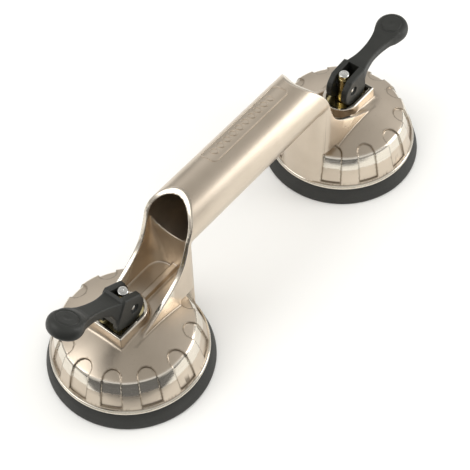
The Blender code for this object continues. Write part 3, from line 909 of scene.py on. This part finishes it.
MAKERS = {
    "cast_nickel": cast_nickel,
    "rubber": rubber,
    "lever_plastic": lever_plastic,
    "zinc_yellow": lambda name: turned_metal(name, (0.62, 0.50, 0.22), (0.80, 0.70, 0.40), 0.20, 0.32),
    "bright_steel": lambda name: turned_metal(name, (0.66, 0.66, 0.64), (0.82, 0.82, 0.80), 0.18, 0.30),
    "spring_steel": lambda name: turned_metal(name, (0.34, 0.34, 0.35), (0.46, 0.46, 0.46), 0.30, 0.42),
    "bronze": lambda name: turned_metal(name, (0.48, 0.32, 0.16), (0.60, 0.42, 0.22), 0.34, 0.46),
}


def look(name):
    label = "look_" + name
    return bpy.data.materials.get(label) or MAKERS[name](label)


def finish(obj, name, top=None, above=None):
    """Gives a piece its material, and another one to its faces above a height in mm."""
    obj.data.materials.clear()
    obj.data.materials.append(look(name))
    if top:
        obj.data.materials.append(look(top))
        for face in obj.data.polygons:
            face.material_index = int(face.center.z > above * MM)


def finish_cad():
    slots = {part["node"]: part["material_slot"] for part in frame["record"]["subparts"]}
    for node, obj in frame["nodes"].items():
        for slot in obj.material_slots:
            slot.material = look(slots[node])


# Stage

def soft_box(name, size, place, aim, power, mirrored=True):
    """A rectangular light. One that isn't mirrored lights the scene without showing in the metal."""
    light = bpy.data.lights.new(name, "AREA")
    light.shape = "RECTANGLE"
    light.size, light.size_y = size
    light.energy = power
    light.color = (1.0, 0.995, 0.98)
    obj = bpy.data.objects.new(name, light)
    bpy.context.collection.objects.link(obj)
    obj.location = place
    obj.rotation_euler = (Vector(aim) - Vector(place)).to_track_quat("-Z", "Y").to_euler()
    obj.visible_glossy = mirrored


def flat_quad(name, corners):
    mesh = bpy.data.meshes.new(name)
    mesh.from_pydata(corners, [], [(0, 1, 2, 3)])
    obj = bpy.data.objects.new(name, mesh)
    bpy.context.collection.objects.link(obj)
    return obj


def grey_card(name, near, far, half_width, grey, low=0.002, high=0.002):
    """A card that only the metal sees, lying towards the camera from near to far metres away."""
    azimuth = math.radians(CAMERA["azimuth"])
    out = Vector((math.sin(azimuth), -math.cos(azimuth), 0))
    across = Vector((-out.y, out.x, 0)) * half_width
    centre = Vector((HANDLE_X * MM, 0, 0))
    corners = [centre + out * near - across, centre + out * near + across,
               centre + out * far + across, centre + out * far - across]
    for corner, z in zip(corners, (low, low, high, high)):
        corner.z = z
    card = flat_quad(name, corners)
    n = Nodes("look_" + name)
    card.data.materials.append(n.set(base_color=(0, 0, 0, 1), roughness=1.0, specular_ior_level=0.0,
                                     emission_color=(grey, grey, grey, 1), emission_strength=1.0))
    card.visible_camera = card.visible_diffuse = card.visible_shadow = False


def build_stage():
    half = 4.0
    floor = flat_quad("floor", [(-half, -half, 0), (half, -half, 0), (half, half, 0), (-half, half, 0)])
    n = Nodes("look_floor")
    colour = n.ramp(n.noise(3, 2), [(0.3, (0.93, 0.93, 0.915)), (0.7, (0.95, 0.95, 0.935))])
    floor.data.materials.append(n.set(base_color=colour, roughness=0.9))
    grey_card("front_card", 0.175, 0.9, 0.6, 0.17)
    grey_card("camera_card", 0.9, 0.9, 0.5, 0.17, 0.002, 0.30)

    soft_box("fill", (2.4, 2.4), (0, 0, 1.9), (0, 0, 0), 23, mirrored=False)
    soft_box("right_box", (0.5, 0.8), (0.75, -0.75, 0.35), (0, 0, 0.05), 3.4)
    soft_box("left_box", (0.7, 0.7), (-0.75, 0.55, 0.85), (0, 0, 0.05), 3.0)

    world = bpy.data.worlds.new("studio")
    bpy.context.scene.world = world
    world.use_nodes = True
    tree = world.node_tree
    back = tree.nodes["Background"]
    place = tree.nodes.new("ShaderNodeTexCoord")
    split = tree.nodes.new("ShaderNodeSeparateXYZ")
    ramp = tree.nodes.new("ShaderNodeValToRGB")
    tree.links.new(place.outputs["Generated"], split.inputs["Vector"])
    tree.links.new(split.outputs["Z"], ramp.inputs["Fac"])
    elements = ramp.color_ramp.elements
    elements[0].position, elements[0].color = 0.0, (0.30, 0.295, 0.285, 1)
    elements[1].position, elements[1].color = 0.95, (0.44, 0.43, 0.41, 1)
    middle = elements.new(0.5)
    middle.color = (0.85, 0.84, 0.825, 1)
    tree.links.new(ramp.outputs["Color"], back.inputs["Color"])
    back.inputs["Strength"].default_value = 1.0
    bpy.context.scene.view_settings.view_transform = "Standard"


CAMERA = dict(azimuth=-49.82, elevation=52.64, roll=-1.83, distance=0.98513, lens=110.34)
LOOK_AT = Vector((-0.01986, -0.00728, 0.0330))


def build_camera():
    azimuth, elevation = math.radians(CAMERA["azimuth"]), math.radians(CAMERA["elevation"])
    back = Vector((math.sin(azimuth) * math.cos(elevation), -math.cos(azimuth) * math.cos(elevation),
                   math.sin(elevation)))
    level = (-back).cross(Vector((0, 0, 1))).normalized()
    upright = level.cross(-back)
    roll = math.radians(CAMERA["roll"])
    right = level * math.cos(roll) + upright * math.sin(roll)
    up = upright * math.cos(roll) - level * math.sin(roll)
    data = bpy.data.cameras.new("camera")
    data.lens, data.sensor_width, data.clip_end = CAMERA["lens"], 36, 20
    camera = bpy.data.objects.new("camera", data)
    bpy.context.collection.objects.link(camera)
    matrix = Matrix((right, up, back)).transposed().to_4x4()
    matrix.translation = LOOK_AT + back * CAMERA["distance"]
    camera.matrix_world = matrix
    bpy.context.scene.camera = camera


finish_cad()
build_body()
build_cartouche()
build_levers()
for cup in SIDE:
    build_flange(cup)
    build_pad(cup)
    build_spring(cup)
    build_stud(cup)
    build_pin(cup)
build_stage()
build_camera()
